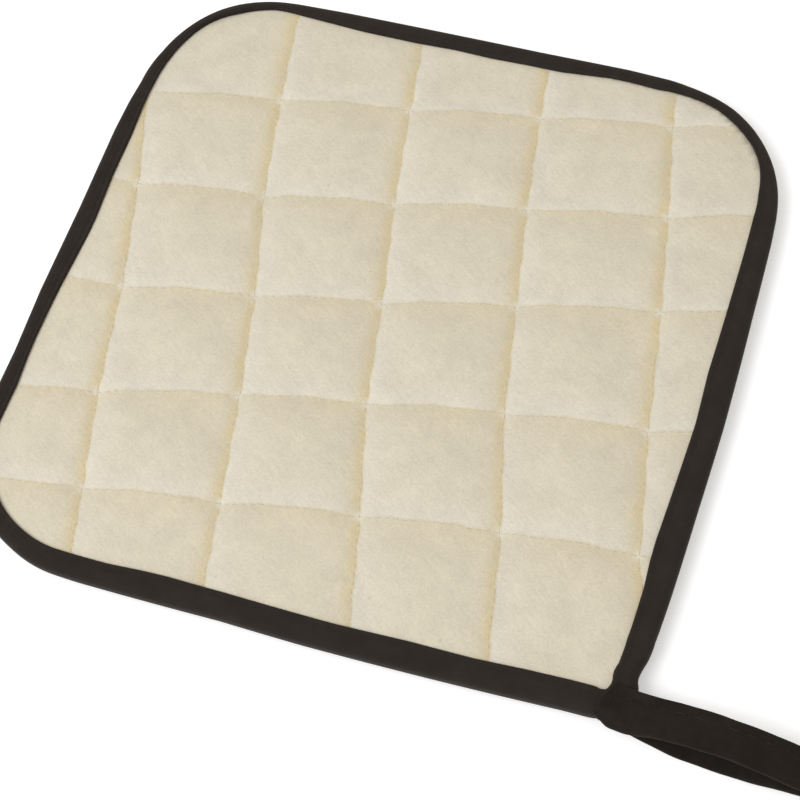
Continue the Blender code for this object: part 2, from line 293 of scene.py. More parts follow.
def makeStitchTree():
    # Lays one stitch after another along the edges of a mesh.
    tree = bpy.data.node_groups.new("stitchRow", "GeometryNodeTree")
    face = tree.interface
    for label, kind, value in (
        ("Geometry", "Geometry", None), ("Spacing", "Float", 0.0025), ("Length", "Float", 0.0018),
        ("Thickness", "Float", 0.0004), ("Unevenness", "Float", 0.1), ("Seed", "Int", 1),
        ("Thread", "Material", None),
    ):
        socket = face.new_socket(label, in_out="INPUT", socket_type="NodeSocket" + kind)
        if value is not None:
            socket.default_value = value
    face.new_socket("Geometry", in_out="OUTPUT", socket_type="NodeSocketGeometry")
    node = tree.nodes.new
    given = node("NodeGroupInput")
    curve = node("GeometryNodeMeshToCurve")
    points = node("GeometryNodeCurveToPoints")
    points.mode = "LENGTH"
    ball = node("GeometryNodeMeshUVSphere")
    for label, value in stitchBall.items():
        ball.inputs[label].default_value = value
    size = node("ShaderNodeCombineXYZ")
    stretch = node("GeometryNodeTransform")
    uneven = node("FunctionNodeRandomValue")
    lowest = node("ShaderNodeMath")
    lowest.operation = "SUBTRACT"
    highest = node("ShaderNodeMath")
    for limit in (lowest, highest):
        limit.inputs[0].default_value = 1
    place = node("GeometryNodeInstanceOnPoints")
    real = node("GeometryNodeRealizeInstances")
    smoothFaces = node("GeometryNodeSetShadeSmooth")
    paint = node("GeometryNodeSetMaterial")
    out = node("NodeGroupOutput")
    for source, output, aim, entry in (
        (given, "Geometry", curve, "Mesh"),
        (curve, "Curve", points, "Curve"),
        (given, "Spacing", points, "Length"),
        (given, "Thickness", size, "X"),
        (given, "Thickness", size, "Y"),
        (given, "Length", size, "Z"),
        (ball, "Mesh", stretch, "Geometry"),
        (size, "Vector", stretch, "Scale"),
        (given, "Unevenness", lowest, 1),
        (given, "Unevenness", highest, 1),
        (lowest, 0, uneven, 2),
        (highest, 0, uneven, 3),
        (given, "Seed", uneven, "Seed"),
        (points, "Points", place, "Points"),
        (points, "Rotation", place, "Rotation"),
        (stretch, "Geometry", place, "Instance"),
        (uneven, 1, place, "Scale"),
        (place, "Instances", real, "Geometry"),
        (real, "Geometry", smoothFaces, "Geometry"),
        (smoothFaces, "Geometry", paint, "Geometry"),
        (given, "Thread", paint, "Material"),
        (paint, "Geometry", out, "Geometry"),
    ):
        tree.links.new(source.outputs[output], aim.inputs[entry])
    return tree


stitchTree = makeStitchTree()


def sew(name, paths, sizes, thread):
    # One row of stitches along each path.
    points, edges = [], []
    for path in paths:
        first = len(points)
        points += [tuple(point) for point in path]
        edges += [(first + number, first + number + 1) for number in range(len(path) - 1)]
    mesh = bpy.data.meshes.new(name)
    mesh.from_pydata(points, edges, [])
    piece = addObject(name, mesh)
    row = piece.modifiers.new("stitches", "NODES")
    row.node_group = stitchTree
    wanted = {label.capitalize(): value for label, value in sizes.items()}
    wanted["Thread"] = thread
    for item in stitchTree.interface.items_tree:
        if item.in_out == "INPUT" and item.name in wanted:
            row[item.identifier] = wanted[item.name]
    applied(piece)
    if not piece.data.materials:
        piece.data.materials.append(thread)
    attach(piece, "root")
    print("pot holder:", name, "sewn,", len(piece.data.polygons), "faces")


# Camera at the photograph's angle, placed from the middle of the pad
camera = {
    "place": (0.13937, -0.26016, 0.49591),
    "aim": (0.01273, -0.02323, 0.0),
    "roll": -11.417,
    "lens": 88.85,
    "sensor": 36.0,
    "clipStart": 0.01,
}


def makeCamera():
    data = bpy.data.cameras.new("photoCamera")
    data.lens = camera["lens"]
    data.sensor_width = camera["sensor"]
    data.clip_start = camera["clipStart"]
    holder = addObject("photoCamera", data)
    middle = Vector((padMiddle[0], padMiddle[1], 0))
    place = middle + Vector(camera["place"])
    look = (middle + Vector(camera["aim"]) - place).to_track_quat("-Z", "Y")
    turn = look @ Quaternion((0, 0, 1), math.radians(camera["roll"]))
    holder.location = place
    holder.rotation_euler = turn.to_euler()
    scene.camera = holder


makeCamera()
print("pot holder: camera placed")

# Materials
finishes = {
    "cotton": (0.698, 0.633, 0.497),
    # The next two are painted shade, darker and yellower, and painted light, for the flanks beside
    # the quilting lines
    "cottonShadeTint": (0.95, 0.88, 0.70),
    "cottonPaintedLight": (0.748, 0.705, 0.608),
    "fleck": (0.42, 0.30, 0.17),
    # The quilting thread is darker and yellower than the cloth: painted shade, matched to the
    # shaded grooves it lies in
    "cottonThread": (0.62, 0.53, 0.37),
    "tape": (0.0167, 0.0123, 0.0092),
    "tapeLint": (0.050, 0.0410, 0.0340),
    "tapeThread": (0.0150, 0.0118, 0.0095),
    # The strap and its thread are coloured darker than the tape; this darkness is partly painted
    # shade on the loop
    "strap": (0.0122, 0.0089, 0.0067),
    "strapLint": (0.044, 0.0360, 0.0300),
    "strapThread": (0.0085, 0.0066, 0.0054),
    "wadding": (0.80, 0.78, 0.72),
}


def newGroup(name, inputs, outputs):
    # A shader group on a vector, with number inputs and number outputs.
    tree = bpy.data.node_groups.new(name, "ShaderNodeTree")
    face = tree.interface
    face.new_socket("Vector", in_out="INPUT", socket_type="NodeSocketVector")
    for label, value in inputs.items():
        socket = face.new_socket(label, in_out="INPUT", socket_type="NodeSocketFloat")
        socket.default_value = value
    for label in outputs:
        face.new_socket(label, in_out="OUTPUT", socket_type="NodeSocketFloat")
    return tree, tree.nodes.new("NodeGroupInput"), tree.nodes.new("NodeGroupOutput")


def maths(tree, operation, first, second=None, third=None, clamp=False):
    # A Math node on sockets or numbers.
    node = tree.nodes.new("ShaderNodeMath")
    node.operation = operation
    node.use_clamp = clamp
    for number, value in enumerate((first, second, third)):
        if value is None:
            continue
        if isinstance(value, (int, float)):
            node.inputs[number].default_value = value
        else:
            tree.links.new(value, node.inputs[number])
    return node.outputs[0]


def times(tree, first, second):
    return maths(tree, "MULTIPLY", first, second)


def scaled(colour, factor):
    return tuple(value * factor for value in colour)


def noise(tree, vector, scale, detail=2.0, roughness=0.5):
    node = tree.nodes.new("ShaderNodeTexNoise")
    tree.links.new(vector, node.inputs["Vector"])
    node.inputs["Scale"].default_value = scale
    node.inputs["Detail"].default_value = detail
    node.inputs["Roughness"].default_value = roughness
    return node.outputs["Fac"]


def spread(tree, value, low, high, toLow=0.0, toHigh=1.0):
    node = tree.nodes.new("ShaderNodeMapRange")
    tree.links.new(value, node.inputs["Value"])
    numbers = {"From Min": low, "From Max": high, "To Min": toLow, "To Max": toHigh}
    for label, number in numbers.items():
        node.inputs[label].default_value = number
    return node.outputs["Result"]


def mixed(tree, share, first, second, blend="MIX"):
    node = tree.nodes.new("ShaderNodeMix")
    node.data_type = "RGBA"
    node.blend_type = blend
    if isinstance(share, (int, float)):
        node.inputs["Factor"].default_value = share
    else:
        tree.links.new(share, node.inputs["Factor"])
    for label, value in (("A", first), ("B", second)):
        socket = [item for item in node.inputs if item.name == label and item.type == "RGBA"][0]
        if isinstance(value, tuple):
            socket.default_value = (*value, 1)
        else:
            tree.links.new(value, socket)
    return [item for item in node.outputs if item.type == "RGBA"][0]


weave = {
    "crossRibs": 1.5,
    "crossHeight": 0.35,
    "breakupScale": 420.0,
    "breakupHeight": 4.0,
    "toneRange": (-1.4, 1.6),
}


def makeTwillGroup():
    # Slanted ribs of a woven cloth, broken up by the single threads.
    tree, given, out = newGroup(
        "twillWeave", {"Ribs": 1300.0, "Slant": 1.0, "Breakup": 0.5}, ("Height", "Tone")
    )
    vector, count = given.outputs["Vector"], given.outputs["Ribs"]
    parts = tree.nodes.new("ShaderNodeSeparateXYZ")
    tree.links.new(vector, parts.inputs[0])
    along, across = parts.outputs["X"], parts.outputs["Y"]
    slanted = maths(tree, "MULTIPLY_ADD", across, given.outputs["Slant"], along)
    rib = maths(tree, "SINE", times(tree, times(tree, slanted, count), 2 * math.pi))
    crossTurns = times(tree, times(tree, across, count), weave["crossRibs"] * 2 * math.pi)
    crossRib = maths(tree, "SINE", crossTurns)
    ribs = maths(tree, "MULTIPLY_ADD", crossRib, weave["crossHeight"], rib)
    uneven = maths(tree, "SUBTRACT", noise(tree, vector, weave["breakupScale"]), 0.5)
    loose = times(tree, uneven, given.outputs["Breakup"])
    height = maths(tree, "MULTIPLY_ADD", loose, weave["breakupHeight"], ribs)
    tree.links.new(height, out.inputs["Height"])
    tree.links.new(spread(tree, height, *weave["toneRange"]), out.inputs["Tone"])
    return tree


# How the streaks are drawn out, then the scale, detail and roughness of each noise
brushing = {
    "drawn": (0.22, 1.0, 0.5),
    "fuzz": (1500.0, 3.0, 0.6),
    "streaks": (1100.0, 2.0, 0.5),
    "patches": (130.0, 3.0, 0.55),
}


def makeNapGroup():
    # Brushed fibres: a fine fuzz, longer streaks in one direction and soft patches.
    tree, given, out = newGroup(
        "brushedNap", {"Turn": -0.7, "Fuzz": 1.0, "Streaks": 1.0}, ("Height", "Tone", "Patches")
    )
    vector = given.outputs["Vector"]
    turned = tree.nodes.new("ShaderNodeVectorRotate")
    turned.rotation_type = "Z_AXIS"
    tree.links.new(vector, turned.inputs["Vector"])
    tree.links.new(given.outputs["Turn"], turned.inputs["Angle"])
    drawn = tree.nodes.new("ShaderNodeVectorMath")
    drawn.operation = "MULTIPLY"
    drawn.inputs[1].default_value = brushing["drawn"]
    tree.links.new(turned.outputs[0], drawn.inputs[0])
    heights = []
    for label, source in (("Fuzz", vector), ("Streaks", drawn.outputs[0])):
        grain = noise(tree, source, *brushing[label.lower()])
        heights.append(times(tree, maths(tree, "SUBTRACT", grain, 0.5), given.outputs[label]))
    total = maths(tree, "ADD", *heights)
    tree.links.new(total, out.inputs["Height"])
    tree.links.new(maths(tree, "ADD", total, 0.5, clamp=True), out.inputs["Tone"])
    tree.links.new(noise(tree, vector, *brushing["patches"]), out.inputs["Patches"])
    return tree


# The sides are distances from a line over which the painted shade or the painted light comes up. A
# row of four numbers says how a share between two lines turns into a strength.
seamLook = {
    "puckerPower": 1.4,
    "shadePower": 1.7,
    "lightPower": 1.0,
    "palePower": 2.0,
    "shadeSide": (-0.7 * mm, -0.3 * mm),
    "lightSide": (-0.4 * mm, -1.0 * mm),
    "rowShade": (0.0, 0.95, 0.5, 1.45),
    "columnLight": (0.1, 0.95, 0.5, 1.2),
    "rowLight": (0.05, 0.95, 1.2, 0.7),
    # How much the painted pale spot at a crossing takes away the painted shade
    "crossingPale": 0.85,
}


def fallOff(tree, distance, reach, power):
    # 1 on a line, falling to 0 beyond the reach.
    ratio = maths(tree, "POWER", maths(tree, "DIVIDE", distance, reach), power)
    return maths(tree, "EXPONENT", times(tree, ratio, -1.0))


def makeSeamGroup():
    # Distance to the quilting lines from the cloth's own map, whose whole numbers are the lines.
    # One side of each line gets painted shade, yellower, and the other painted light, and the
    # stitches pull small puckers along it.
    tree, given, out = newGroup(
        "quiltSeamShading",
        {
            "Column Pitch": 0.0394, "Row Pitch": 0.03415, "Stitch": 0.0025, "Reach": 0.0012,
            "Column Shade Reach": 0.0028, "Row Shade Reach": 0.006, "Row Shade": 0.4,
            "Light Reach": 0.004, "Crossing": 0.0018,
        },
        ("Shade", "Light", "Pucker"),
    )
    size = given.outputs
    parts = tree.nodes.new("ShaderNodeSeparateXYZ")
    tree.links.new(size["Vector"], parts.inputs[0])
    puckers, shades, lights, pales = [], [], [], []
    for own, label, other, otherLabel, side in (
        ("X", "Column", "Y", "Row", -1.0), ("Y", "Row", "X", "Column", 1.0)
    ):
        value = parts.outputs[own]
        limited = maths(tree, "MINIMUM", maths(tree, "MAXIMUM", value, 0.0), lastLine)
        away = maths(tree, "SUBTRACT", value, maths(tree, "ROUND", limited))
        signed = times(tree, times(tree, away, size[label + " Pitch"]), side)
        distance = maths(tree, "ABSOLUTE", signed)
        along = times(tree, parts.outputs[other], size[otherLabel + " Pitch"])
        turns = maths(tree, "DIVIDE", along, size["Stitch"])
        dent = maths(tree, "COSINE", times(tree, turns, 2 * math.pi))
        near = fallOff(tree, distance, size["Reach"], seamLook["puckerPower"])
        puckers.append(times(tree, dent, near))
        fall = fallOff(tree, distance, size[label + " Shade Reach"], seamLook["shadePower"])
        shades.append(times(tree, fall, spread(tree, signed, *seamLook["shadeSide"])))
        fall = fallOff(tree, distance, size["Light Reach"], seamLook["lightPower"])
        lights.append(times(tree, fall, spread(tree, signed, *seamLook["lightSide"])))
        pales.append(fallOff(tree, distance, size["Crossing"], seamLook["palePower"]))
    pale = times(tree, *pales)
    cellX = maths(tree, "FRACT", parts.outputs["X"])
    cellY = maths(tree, "FRACT", parts.outputs["Y"])
    # The painted shade along the rows grows towards the next column and fades at the crossings.
    rowShade = times(tree, shades[1], size["Row Shade"])
    rowShade = times(tree, rowShade, spread(tree, cellX, *seamLook["rowShade"]))
    shade = maths(tree, "MAXIMUM", shades[0], rowShade)
    unshaded = maths(tree, "MULTIPLY_ADD", pale, -seamLook["crossingPale"], 1.0)
    tree.links.new(times(tree, shade, unshaded), out.inputs["Shade"])
    # The painted light is strongest where each cell's front line meets its left one, on the side
    # towards the lamp, and the crossings get a painted pale spot.
    columnLight = times(tree, lights[0], spread(tree, cellY, *seamLook["columnLight"]))
    rowLight = times(tree, lights[1], spread(tree, cellX, *seamLook["rowLight"]))
    light = maths(tree, "MAXIMUM", columnLight, rowLight)
    light = times(tree, light, maths(tree, "SUBTRACT", 1.0, shades[0]))
    tree.links.new(maths(tree, "MAXIMUM", light, pale), out.inputs["Light"])
    tree.links.new(maths(tree, "ADD", *puckers), out.inputs["Pucker"])
    return tree


twillGroup = makeTwillGroup()
napGroup = makeNapGroup()
seamGroup = makeSeamGroup()


def useGroup(tree, group, vector, values):
    node = tree.nodes.new("ShaderNodeGroup")
    node.node_tree = group
    tree.links.new(vector, node.inputs["Vector"])
    for label, value in values.items():
        node.inputs[label].default_value = value
    return node.outputs


def startMaterial(name, roughness, specular, sheen=0.0, sheenTint=(1, 1, 1)):
    material = bpy.data.materials.new(name)
    material.use_nodes = True
    tree = material.node_tree
    shader = tree.nodes["Principled BSDF"]
    for label, value in (
        ("Roughness", roughness), ("Specular IOR Level", specular), ("Sheen Weight", sheen),
        ("Sheen Roughness", 0.5), ("Sheen Tint", (*sheenTint, 1)),
    ):
        shader.inputs[label].default_value = value
    return material, tree, shader


def bumped(tree, shader, height, strength, distance):
    node = tree.nodes.new("ShaderNodeBump")
    node.inputs["Strength"].default_value = strength
    node.inputs["Distance"].default_value = distance
    tree.links.new(height, node.inputs["Height"])
    tree.links.new(node.outputs["Normal"], shader.inputs["Normal"])


def uvMap(tree, name):
    node = tree.nodes.new("ShaderNodeUVMap")
    node.uv_map = name
    return node.outputs["UV"]


def objectPlace(tree):
    return tree.nodes.new("ShaderNodeTexCoord").outputs["Object"]


# A row of four numbers says how a noise turns into a strength.
cottonLook = {
    "roughness": 0.95,
    "specular": 0.2,
    "sheen": 0.25,
    "sheenTint": (1.0, 0.95, 0.85),
    "stitch": 2.5 * mm,
    "puckerReach": 0.8 * mm,
    "pucker": 0.3,
    # How far the painted shade and painted light reach from the quilting lines, how strong they
    # are, and the size of the painted pale spots at the crossings
    "columnShadeReach": 2.8 * mm,
    "rowShadeReach": 6.0 * mm,
    "rowShade": 0.32,
    "shadePatches": (0.35, 0.65, 0.7, 1.12),
    "lightReach": 4.6 * mm,
    "light": 0.8,
    "crossing": 1.7 * mm,
    "patches": (0.33, 0.67, 0.96, 1.03),
    "grain": (0.2, 0.8, 0.90, 1.08),
    "nap": {"Turn": 0.62, "Fuzz": 1.15, "Streaks": 0.5},
    "bump": 0.55,
    "bumpHeight": 0.16 * mm,
    "fleckScale": 95.0,
    "fleckSize": 0.055,
    "fleckChance": 0.45,
    "fleckStrength": 0.3,
}


def makeFlecks(tree, place):
    # Small round specks in some cells of a cell pattern.
    look = cottonLook
    cells = tree.nodes.new("ShaderNodeTexVoronoi")
    cells.inputs["Scale"].default_value = look["fleckScale"]
    tree.links.new(place, cells.inputs["Vector"])
    fleck = spread(tree, cells.outputs["Distance"], look["fleckSize"], look["fleckSize"] * 0.5)
    draw = tree.nodes.new("ShaderNodeSeparateColor")
    tree.links.new(cells.outputs["Color"], draw.inputs[0])
    chosen = maths(tree, "GREATER_THAN", draw.outputs["Red"], 1 - look["fleckChance"])
    return times(tree, times(tree, fleck, chosen), look["fleckStrength"])


def makeCotton():
    look = cottonLook
    material, tree, shader = startMaterial(
        "brushedCotton", look["roughness"], look["specular"], look["sheen"], look["sheenTint"]
    )
    place = objectPlace(tree)
    seams = useGroup(tree, seamGroup, uvMap(tree, "quilt"), {
        "Column Pitch": quilt["columnPitch"], "Row Pitch": quilt["rowPitch"],
        "Stitch": look["stitch"], "Reach": look["puckerReach"],
        "Column Shade Reach": look["columnShadeReach"],
        "Row Shade Reach": look["rowShadeReach"], "Row Shade": look["rowShade"],
        "Light Reach": look["lightReach"], "Crossing": look["crossing"],
    })
    nap = useGroup(tree, napGroup, place, look["nap"])
    # Painted light on one side of each quilting line and painted shade, yellower, on the other,
    # the shade in uneven patches
    light = times(tree, seams["Light"], look["light"])
    colour = mixed(tree, light, finishes["cotton"], finishes["cottonPaintedLight"])
    shade = times(tree, seams["Shade"], spread(tree, nap["Patches"], *look["shadePatches"]))
    colour = mixed(tree, shade, colour, finishes["cottonShadeTint"], "MULTIPLY")
    patches = spread(tree, nap["Patches"], *look["patches"])
    tone = times(tree, patches, spread(tree, nap["Tone"], *look["grain"]))
    toneColour = tree.nodes.new("ShaderNodeCombineColor")
    for label in ("Red", "Green", "Blue"):
        tree.links.new(tone, toneColour.inputs[label])
    colour = mixed(tree, 1.0, colour, toneColour.outputs[0], "MULTIPLY")
    colour = mixed(tree, makeFlecks(tree, place), colour, finishes["fleck"])
    tree.links.new(colour, shader.inputs["Base Color"])
    height = maths(tree, "MULTIPLY_ADD", seams["Pucker"], look["pucker"], nap["Height"])
    bumped(tree, shader, height, look["bump"], look["bumpHeight"])
    return material


tapeLook = {
    "roughness": 0.88,
    "sheen": 0.08,
    "sheenTint": (0.8, 0.68, 0.58),
    "weave": {"Ribs": 1500.0, "Slant": 0.9, "Breakup": 0.8},
    "nap": {"Turn": 0.0, "Fuzz": 0.9, "Streaks": 0.6},
    "napHeight": 0.9,
    "lint": 0.45,
    "lintRange": (0.3, 0.75),
    "dust": 0.5,
    "dustRange": (0.66, 0.95),
    "bump": 0.16,
    "bumpHeight": 0.06 * mm,
}


def makeTapeCloth(name, base, lintColour, specular):
    look = tapeLook
    material, tree, shader = startMaterial(
        name, look["roughness"], specular, look["sheen"], look["sheenTint"]
    )
    twill = useGroup(tree, twillGroup, uvMap(tree, "cloth"), look["weave"])
    nap = useGroup(tree, napGroup, objectPlace(tree), look["nap"])
    lint = times(tree, twill["Tone"], spread(tree, nap["Patches"], *look["lintRange"]))
    colour = mixed(tree, times(tree, lint, look["lint"]), base, lintColour)
    dust = spread(tree, nap["Tone"], *look["dustRange"])
    colour = mixed(tree, times(tree, dust, look["dust"]), colour, lintColour)
    tree.links.new(colour, shader.inputs["Base Color"])
    height = maths(tree, "MULTIPLY_ADD", nap["Height"], look["napHeight"], twill["Height"])
    bumped(tree, shader, height, look["bump"], look["bumpHeight"])
    return material


threadLook = {
    "roughness": 0.7,
    "specular": 0.3,
    "strandScale": 2600.0,
    "strandRange": (0.3, 0.7),
    "dark": 0.82,
    "light": 1.12,
    "bump": 0.5,
    "bumpHeight": 0.08 * mm,
}


def makeThread(name, colour, sheen):
    look = threadLook
    material, tree, shader = startMaterial(name, look["roughness"], look["specular"], sheen)
    strands = noise(tree, objectPlace(tree), look["strandScale"])
    share = spread(tree, strands, *look["strandRange"])
    shade = mixed(tree, share, scaled(colour, look["dark"]), scaled(colour, look["light"]))
    tree.links.new(shade, shader.inputs["Base Color"])
    bumped(tree, shader, strands, look["bump"], look["bumpHeight"])
    return material


waddingLook = {
    "roughness": 0.95,
    "specular": 0.2,
    "sheen": 0.2,
    "nap": {"Turn": 0.3, "Fuzz": 1.4, "Streaks": 1.4},
    "dark": 0.86,
    "light": 1.08,
    "bump": 0.8,
    "bumpHeight": 0.4 * mm,
}


def makeWaddingFibre():
    look = waddingLook
    material, tree, shader = startMaterial(
        "waddingFibre", look["roughness"], look["specular"], look["sheen"]
    )
    nap = useGroup(tree, napGroup, objectPlace(tree), look["nap"])
    base = finishes["wadding"]
    colour = mixed(tree, nap["Tone"], scaled(base, look["dark"]), scaled(base, look["light"]))
    tree.links.new(colour, shader.inputs["Base Color"])
    bumped(tree, shader, nap["Height"], look["bump"], look["bumpHeight"])
    return material


# The quilting lines: where the rows, from the back, cross the columns, from the left, in
# mm from the pad's middle, with one more on each side beyond the tape, and the puffs
# between the lines.
quilt = {
    "crossings": (
        ((-152.1, 79.2), (-106.1, 88.8), (-60.1, 98.4), (-19.3, 103.2),
         (20.7, 109.4), (59.1, 115.1), (97.4, 120.8)),
        ((-138.2, 49.0), (-96.1, 56.2), (-54.0, 63.4), (-13.8, 69.4),
         (25.5, 76.4), (64.8, 83.0), (103.6, 91.6)),
        ((-125.3, 18.6), (-86.1, 23.6), (-46.9, 28.6), (-7.8, 35.7),
         (30.8, 43.5), (71.5, 51.1), (111.3, 62.4)),
        ((-117.7, -15.8), (-77.2, -12.1), (-37.5, -5.0), (-0.5, 2.1),
         (37.2, 11.2), (77.5, 20.0), (117.6, 29.8)),
        ((-111.2, -55.4), (-70.7, -46.7), (-30.4, -37.0), (5.4, -30.4),
         (43.8, -22.9), (83.8, -17.7), (123.0, -9.1)),
        ((-102.5, -83.5), (-63.4, -76.4), (-24.1, -70.3), (14.8, -63.7),
         (53.4, -58.1), (91.0, -54.4), (128.6, -50.7)),
        ((-94.5, -108.6), (-56.5, -106.2), (-18.4, -103.8), (22.8, -97.3),
         (60.5, -93.9), (103.0, -91.1), (145.5, -88.3)),
    ),
    "rowPitch": 34.15 * mm,
    "columnPitch": 39.4 * mm,
    "rowCuts": 28,
    "columnCuts": 32,
    "closeness": 0.45,
    "frontPuff": 2.3 * mm,
    "backPuff": 2.8 * mm,
    "frontLineRise": 0.75 * mm,
    "backLineRise": 0.75 * mm,
    "rowRoundness": 2.5,
    "columnRoundness": 3.1,
    "edgeRoundness": 1.5,
    "edgeStart": 5 * mm,
    "edgeSlope": 27 * mm,
    "clothThickness": 0.6 * mm,
    "layersHalf": 1.7 * mm,
    "clothEdge": 2.6 * mm,
    "heldUnderTape": 0.5 * mm,
    "lowest": 0.15 * mm,
    "bow": 0.6 * mm,
    # Every line wavers: by how much, a slow and a quick wave with their radians for each
    # pitch along and across it, and the quick one's share
    "unevenness": 0.17 * mm,
    "columnWaver": ((16.3, 5.1), (29.5, 2.3)),
    "rowWaver": ((13.8, 3.9), (27.0, 1.1)),
    "quickShare": 0.6,
}


cottonCloth = makeCotton()
tapeCloth = makeTapeCloth("wovenTape", finishes["tape"], finishes["tapeLint"], 0.2)
# A darker copy of the tape cloth, partly painted shade on the loop
strapCloth = makeTapeCloth("wovenStrap", finishes["strap"], finishes["strapLint"], 0.1)
waddingFibre = makeWaddingFibre()
cottonThread = makeThread("cottonThread", finishes["cottonThread"], 0.2)
tapeThread = makeThread("tapeThread", finishes["tapeThread"], 0.0)
strapThread = makeThread("strapThread", finishes["strapThread"], 0.0)
print("pot holder: materials made")


def crossing(column, row):
    # Where a column and a row cross, from the pad's middle. Both may be part ways
    # between two lines, or beyond the last one. The table starts at line -1.
    table = np.array(quilt["crossings"]) * mm
    left = np.clip(np.floor(column) + 1, 0, lastLine + 1).astype(int)
    back = np.clip(np.floor(row) + 1, 0, lastLine + 1).astype(int)
    across = (column + 1 - left)[..., None]
    down = (row + 1 - back)[..., None]
    behind = table[back, left] * (1 - across) + table[back, left + 1] * across
    before = table[back + 1, left] * (1 - across) + table[back + 1, left + 1] * across
    point = behind * (1 - down) + before * down
    return point[..., 0], point[..., 1]


def lineShare(index):
    # 0 on a quilting line, 1 half way between two lines or beyond the last one.
    beyond = (index < 0) | (index > lastLine)
    away = np.where(index < 0, -index, index - lastLine)
    inside = np.abs(index - np.round(index))
    return np.where(beyond, np.minimum(1, 2 * away), 2 * inside)


def onLines(index):
    return (np.abs(index - np.round(index)) < 1e-6) & (index > -0.5) & (index < lastLine + 0.5)


def puffShares(column, row, x, y):
    # How much of the whole puff is there, and how much the cloth rises along a line.
    rows = 1 - (1 - lineShare(row)) ** quilt["rowRoundness"]
    columns = 1 - (1 - lineShare(column)) ** quilt["columnRoundness"]
    inside = np.clip((edgeDistance(x, y) - quilt["edgeStart"]) / quilt["edgeSlope"], 0, 1)
    edge = 1 - (1 - inside) ** quilt["edgeRoundness"]
    return edge * rows * columns, edge * ((1 - rows) * columns + (1 - columns) * rows)


def closerAtLines(cuts):
    # Even shares from line to line, drawn together beside each line, with two more
    # pitches on each side of the lines.
    first, last = -2, lastLine + 2
    share = first + np.arange((last - first) * cuts + 1) / cuts
    return share - quilt["closeness"] * np.sin(2 * np.pi * share) / (2 * np.pi)


def waver(along, across, waves):
    slow, quick = [np.sin(turns * along + drift * across) for turns, drift in waves]
    return quilt["unevenness"] * (slow + quilt["quickShare"] * quick)


def quiltGrid():
    # A fine sheet whose rows and columns follow the quilting, cut to the outline.
    rows = closerAtLines(quilt["rowCuts"])
    columns = closerAtLines(quilt["columnCuts"])
    column, row = np.meshgrid(columns, rows)
    x, y = crossing(column, row)
    # The rows bow between the columns, and every line wavers a little.
    isBowed = (row >= -0.2) & (row <= lastLine + 0.2)
    y = y + quilt["bow"] * smooth(lineShare(column)) * np.where(isBowed, 1, 0)
    x = x + waver(row, column, quilt["columnWaver"])
    y = y + waver(column, row, quilt["rowWaver"])
    inside = edgeDistance(x, y) > quilt["clothEdge"]
    number = np.arange(inside.size).reshape(inside.shape)
    whole = inside[:-1, :-1] & inside[1:, :-1] & inside[:-1, 1:] & inside[1:, 1:]
    corners = (number[1:, :-1], number[1:, 1:], number[:-1, 1:], number[:-1, :-1])
    faces = np.stack([corner[whole] for corner in corners], 1)
    used = np.unique(faces)
    renumber = np.full(number.size, -1)
    renumber[used] = np.arange(len(used))
    faces = renumber[faces]
    x, y = x.ravel()[used], y.ravel()[used]
    column, row = column.ravel()[used], row.ravel()[used]
    # The stepped edge is drawn out to the cut line, under the tape.
    edges = np.sort(faceEdges(faces), axis=1)
    pairs, uses = np.unique(edges, axis=0, return_counts=True)
    rim = np.unique(pairs[uses == 1])
    step = 0.05 * mm
    for _ in range(3):
        atX, atY = x[rim], y[rim]
        over = edgeDistance(atX, atY) - quilt["clothEdge"]
        slopeX = (edgeDistance(atX + step, atY) - edgeDistance(atX - step, atY)) / (2 * step)
        slopeY = (edgeDistance(atX, atY + step) - edgeDistance(atX, atY - step)) / (2 * step)
        x[rim] -= over * slopeX
        y[rim] -= over * slopeY
    return x, y, column, row, faces


clothSim = {
    "frames": 16,
    "quality": 4,
    "pressure": 2.6,
    "extraCloth": 0.008,
    "stiffness": 12.0,
    "bending": 0.8,
    "mass": 0.12,
    "startShare": 0.9,
    "cap": 1.0 * mm,
    "smoothing": 24,
}


def swell(piece, held):
    # Blows the cloth up between the quilting lines, which are held.
    group = piece.vertex_groups.new(name="held")
    group.add(np.nonzero(held)[0].tolist(), 1.0, "REPLACE")
    cloth = piece.modifiers.new("swell", "CLOTH")
    settings = cloth.settings
    settings.quality = clothSim["quality"]
    settings.mass = clothSim["mass"]
    settings.tension_stiffness = clothSim["stiffness"]
    settings.compression_stiffness = clothSim["stiffness"]
    settings.shear_stiffness = clothSim["stiffness"] / 2
    settings.bending_stiffness = clothSim["bending"]
    settings.vertex_group_mass = "held"
    settings.pin_stiffness = 1.0
    settings.shrink_min = -clothSim["extraCloth"]
    settings.use_pressure = True
    settings.uniform_pressure_force = clothSim["pressure"]
    settings.effector_weights.gravity = 0
    cloth.collision_settings.use_collision = False
    cloth.point_cache.frame_start = 1
    cloth.point_cache.frame_end = clothSim["frames"]
    for number in range(1, clothSim["frames"] + 1):
        scene.frame_set(number)
    evaluated = piece.evaluated_get(bpy.context.evaluated_depsgraph_get())
    moved = np.zeros(len(piece.data.vertices) * 3, np.float32)
    evaluated.data.vertices.foreach_get("co", moved)
    piece.modifiers.clear()
    piece.vertex_groups.clear()
    scene.frame_set(1)
    return moved.reshape(-1, 3).astype(float)


def smoothed(change, held, faces, rounds):
    # Evens out small wrinkles in the cloth's movement between the held lines.
    pairs = faceEdges(faces)
    count = np.bincount(pairs.ravel(), minlength=len(change))[:, None]
    for _ in range(rounds):
        total = np.zeros_like(change)
        np.add.at(total, pairs[:, 0], change[pairs[:, 1]])
        np.add.at(total, pairs[:, 1], change[pairs[:, 0]])
        change = np.where(held[:, None], change, (change + total / count) / 2)
    return change


